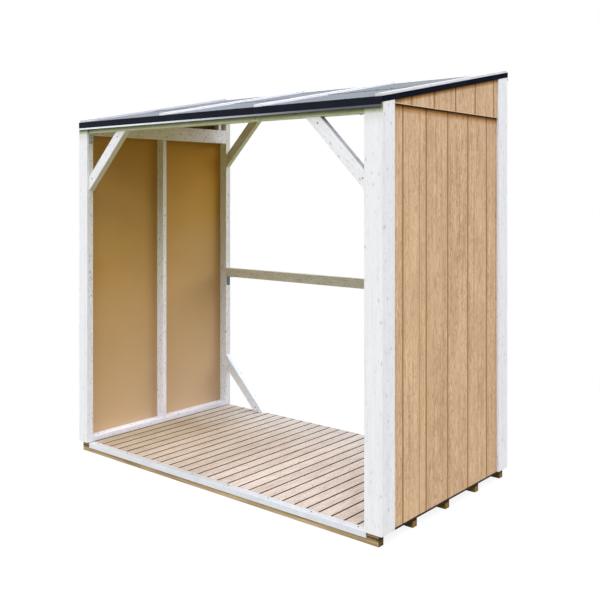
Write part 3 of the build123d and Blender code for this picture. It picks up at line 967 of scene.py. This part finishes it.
def cloutSpots():
    # clouts through the flanges of the edge strips
    d = clouts
    spots = []
    for y in (boardLow.y + d["inset"], boardHigh.y - d["inset"]):
        for x in steps(boardLow.x + d["fromEnd"], boardHigh.x - d["fromEnd"], d["spacing"]):
            spots.append(((x, y, roofLevel(y, roof["covered"])), offRoof))
    # and along the lap of the felt, clear of the battens
    felt = feltSheets
    low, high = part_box("roof_felt")
    y = (low.y + high.y) / 2 - felt["lap"] / 2 + d["lapInset"]
    level = roofLevel(y, roof["board"] + felt["lift"] + felt["thickness"] - felt["ripple"])
    for x in steps(low.x + d["lapFromEnd"], high.x - d["lapFromEnd"], d["lapSpacing"]):
        if abs(abs(x) - battens["innerX"]) > d["besideBatten"]:
            spots.append(((x + jitter(d["wanderX"]), y + jitter(d["wanderY"]), level), offRoof))
    return spots


steelHeads = makeHeadFinish("steel")
paintedHeads = makeHeadFinish("painted")
driveHeads("deckPins", "deckPin", deckPinSpots(), steelHeads)
driveHeads("boardNails", "nail", boardNailSpots(), paintedHeads)
driveHeads("sheetPins", "pin", sheetPinSpots(), makeHeadFinish("oak"))
driveHeads("braceScrews", "screw", braceScrewSpots(), steelHeads)
driveHeads("sillScrews", "screw", sillScrewSpots(), steelHeads)
driveHeads("bracketScrews", "panScrew", bracketScrewSpots(), steelHeads)
driveHeads("battenNails", "nail", battenNailSpots(), paintedHeads)
driveHeads("trimClouts", "clout", cloutSpots(), makeHeadFinish("black"))


studio = {"floorSize": 60.0, "floorSeen": (0.95, 0.95, 0.95), "floorBounce": (0.225, 0.215, 0.12),
          "floorFadeStart": 1.2, "floorFadeEnd": 3.2, "floorGlow": 0.87,
          "sky": (0.88, 0.94, 1.08), "skyFrom": 0.6, "skyline": (0.24, 0.25, 0.20), "skylineUntil": 0.1,
          "skyStrength": 1.0}
lamps = {"frontKey": {"compass": 12.0, "height": 58.0, "strength": 3.0},
         "rearKey": {"compass": 142.0, "height": 34.0, "strength": 1.75}}
lampLight = {"color": (0.955, 0.965, 1.0), "softness": 50.0, "distance": 6.0}
view = {"eye": (3.245, -3.706, 1.6), "turn": 40.0, "lens": 50.04, "shift": -0.1807}


def seenDirectly(tree):
    # 1 where the camera sees a surface, also in metal or through glass, and 0 for the light it gives
    rays = addNode(tree, "ShaderNodeLightPath").outputs
    seen = maths(tree, "MAXIMUM", rays["Is Camera Ray"], rays["Is Glossy Ray"])
    return maths(tree, "MAXIMUM", seen, rays["Is Transmission Ray"])


def makeFloor():
    d = studio
    bpy.ops.object.select_all(action="DESELECT")
    bpy.ops.mesh.primitive_plane_add(size=d["floorSize"], location=(0, 0, 0))
    floor = bpy.context.object
    floor.name = "studioFloor"
    finish, tree, shader = startFinish("paleFloor", 0.9, specular=0.0)
    seen = seenDirectly(tree)
    color = blendColors(tree, seen, d["floorBounce"], d["floorSeen"])
    tree.links.new(color, shader.inputs["Base Color"])
    distance = addNode(tree, "ShaderNodeVectorMath", {0: places(tree)["Object"]}, operation="LENGTH")
    glow = spread(tree, distance.outputs["Value"], d["floorFadeStart"], d["floorFadeEnd"],
                  d["floorGlow"], 1.0)
    glow = maths(tree, "MULTIPLY", seen, glow)
    white = addNode(tree, "ShaderNodeEmission", {"Color": (1, 1, 1, 1), "Strength": 1.0})
    mix = addNode(tree, "ShaderNodeMixShader", {0: glow, 1: shader.outputs[0], 2: white.outputs[0]})
    tree.links.new(mix.outputs[0], tree.nodes["Material Output"].inputs["Surface"])
    floor.data.materials.append(finish)


def makeSky():
    d = studio
    world = bpy.data.worlds.new("studioSky")
    bpy.context.scene.world = world
    world.use_nodes = True
    tree = world.node_tree
    tree.nodes.clear()
    upwards = split(tree, places(tree)["Generated"])["Z"]
    upwards = spread(tree, upwards, d["skylineUntil"], d["skyFrom"])
    color = blendColors(tree, upwards, d["skyline"], d["sky"])
    lit = addNode(tree, "ShaderNodeBackground", {"Color": color, "Strength": d["skyStrength"]})
    white = addNode(tree, "ShaderNodeBackground", {"Color": (1, 1, 1, 1), "Strength": 1.0})
    inputs = {0: seenDirectly(tree), 1: lit.outputs[0], 2: white.outputs[0]}
    mix = addNode(tree, "ShaderNodeMixShader", inputs)
    addNode(tree, "ShaderNodeOutputWorld", {"Surface": mix.outputs[0]})


def makeLamps():
    # compass 0 shines from the front, 90 from the right
    for name, d in lamps.items():
        lamp = bpy.data.lights.new(name, "SUN")
        lamp.energy = d["strength"]
        lamp.color = lampLight["color"]
        lamp.angle = math.radians(lampLight["softness"])
        light = bpy.data.objects.new(name, lamp)
        compass, height = math.radians(d["compass"]), math.radians(d["height"])
        level = math.cos(height)
        towards = Vector((math.sin(compass) * level, -math.cos(compass) * level, math.sin(height)))
        light.location = towards * lampLight["distance"]
        light.rotation_euler = (-towards).to_track_quat("-Z", "Y").to_euler()
        bpy.context.scene.collection.objects.link(light)


def makeCamera():
    d = view
    eye = bpy.data.cameras.new("eye")
    eye.lens = d["lens"]
    eye.sensor_width = 36.0
    eye.shift_y = d["shift"]
    camera = bpy.data.objects.new("eye", eye)
    camera.location = d["eye"]
    camera.rotation_euler = (math.pi / 2, 0.0, math.radians(d["turn"]))
    bpy.context.scene.collection.objects.link(camera)
    bpy.context.scene.camera = camera


makeFloor()
makeSky()
makeLamps()
makeCamera()
bpy.context.scene.view_settings.view_transform = "Standard"
print("studio ready")
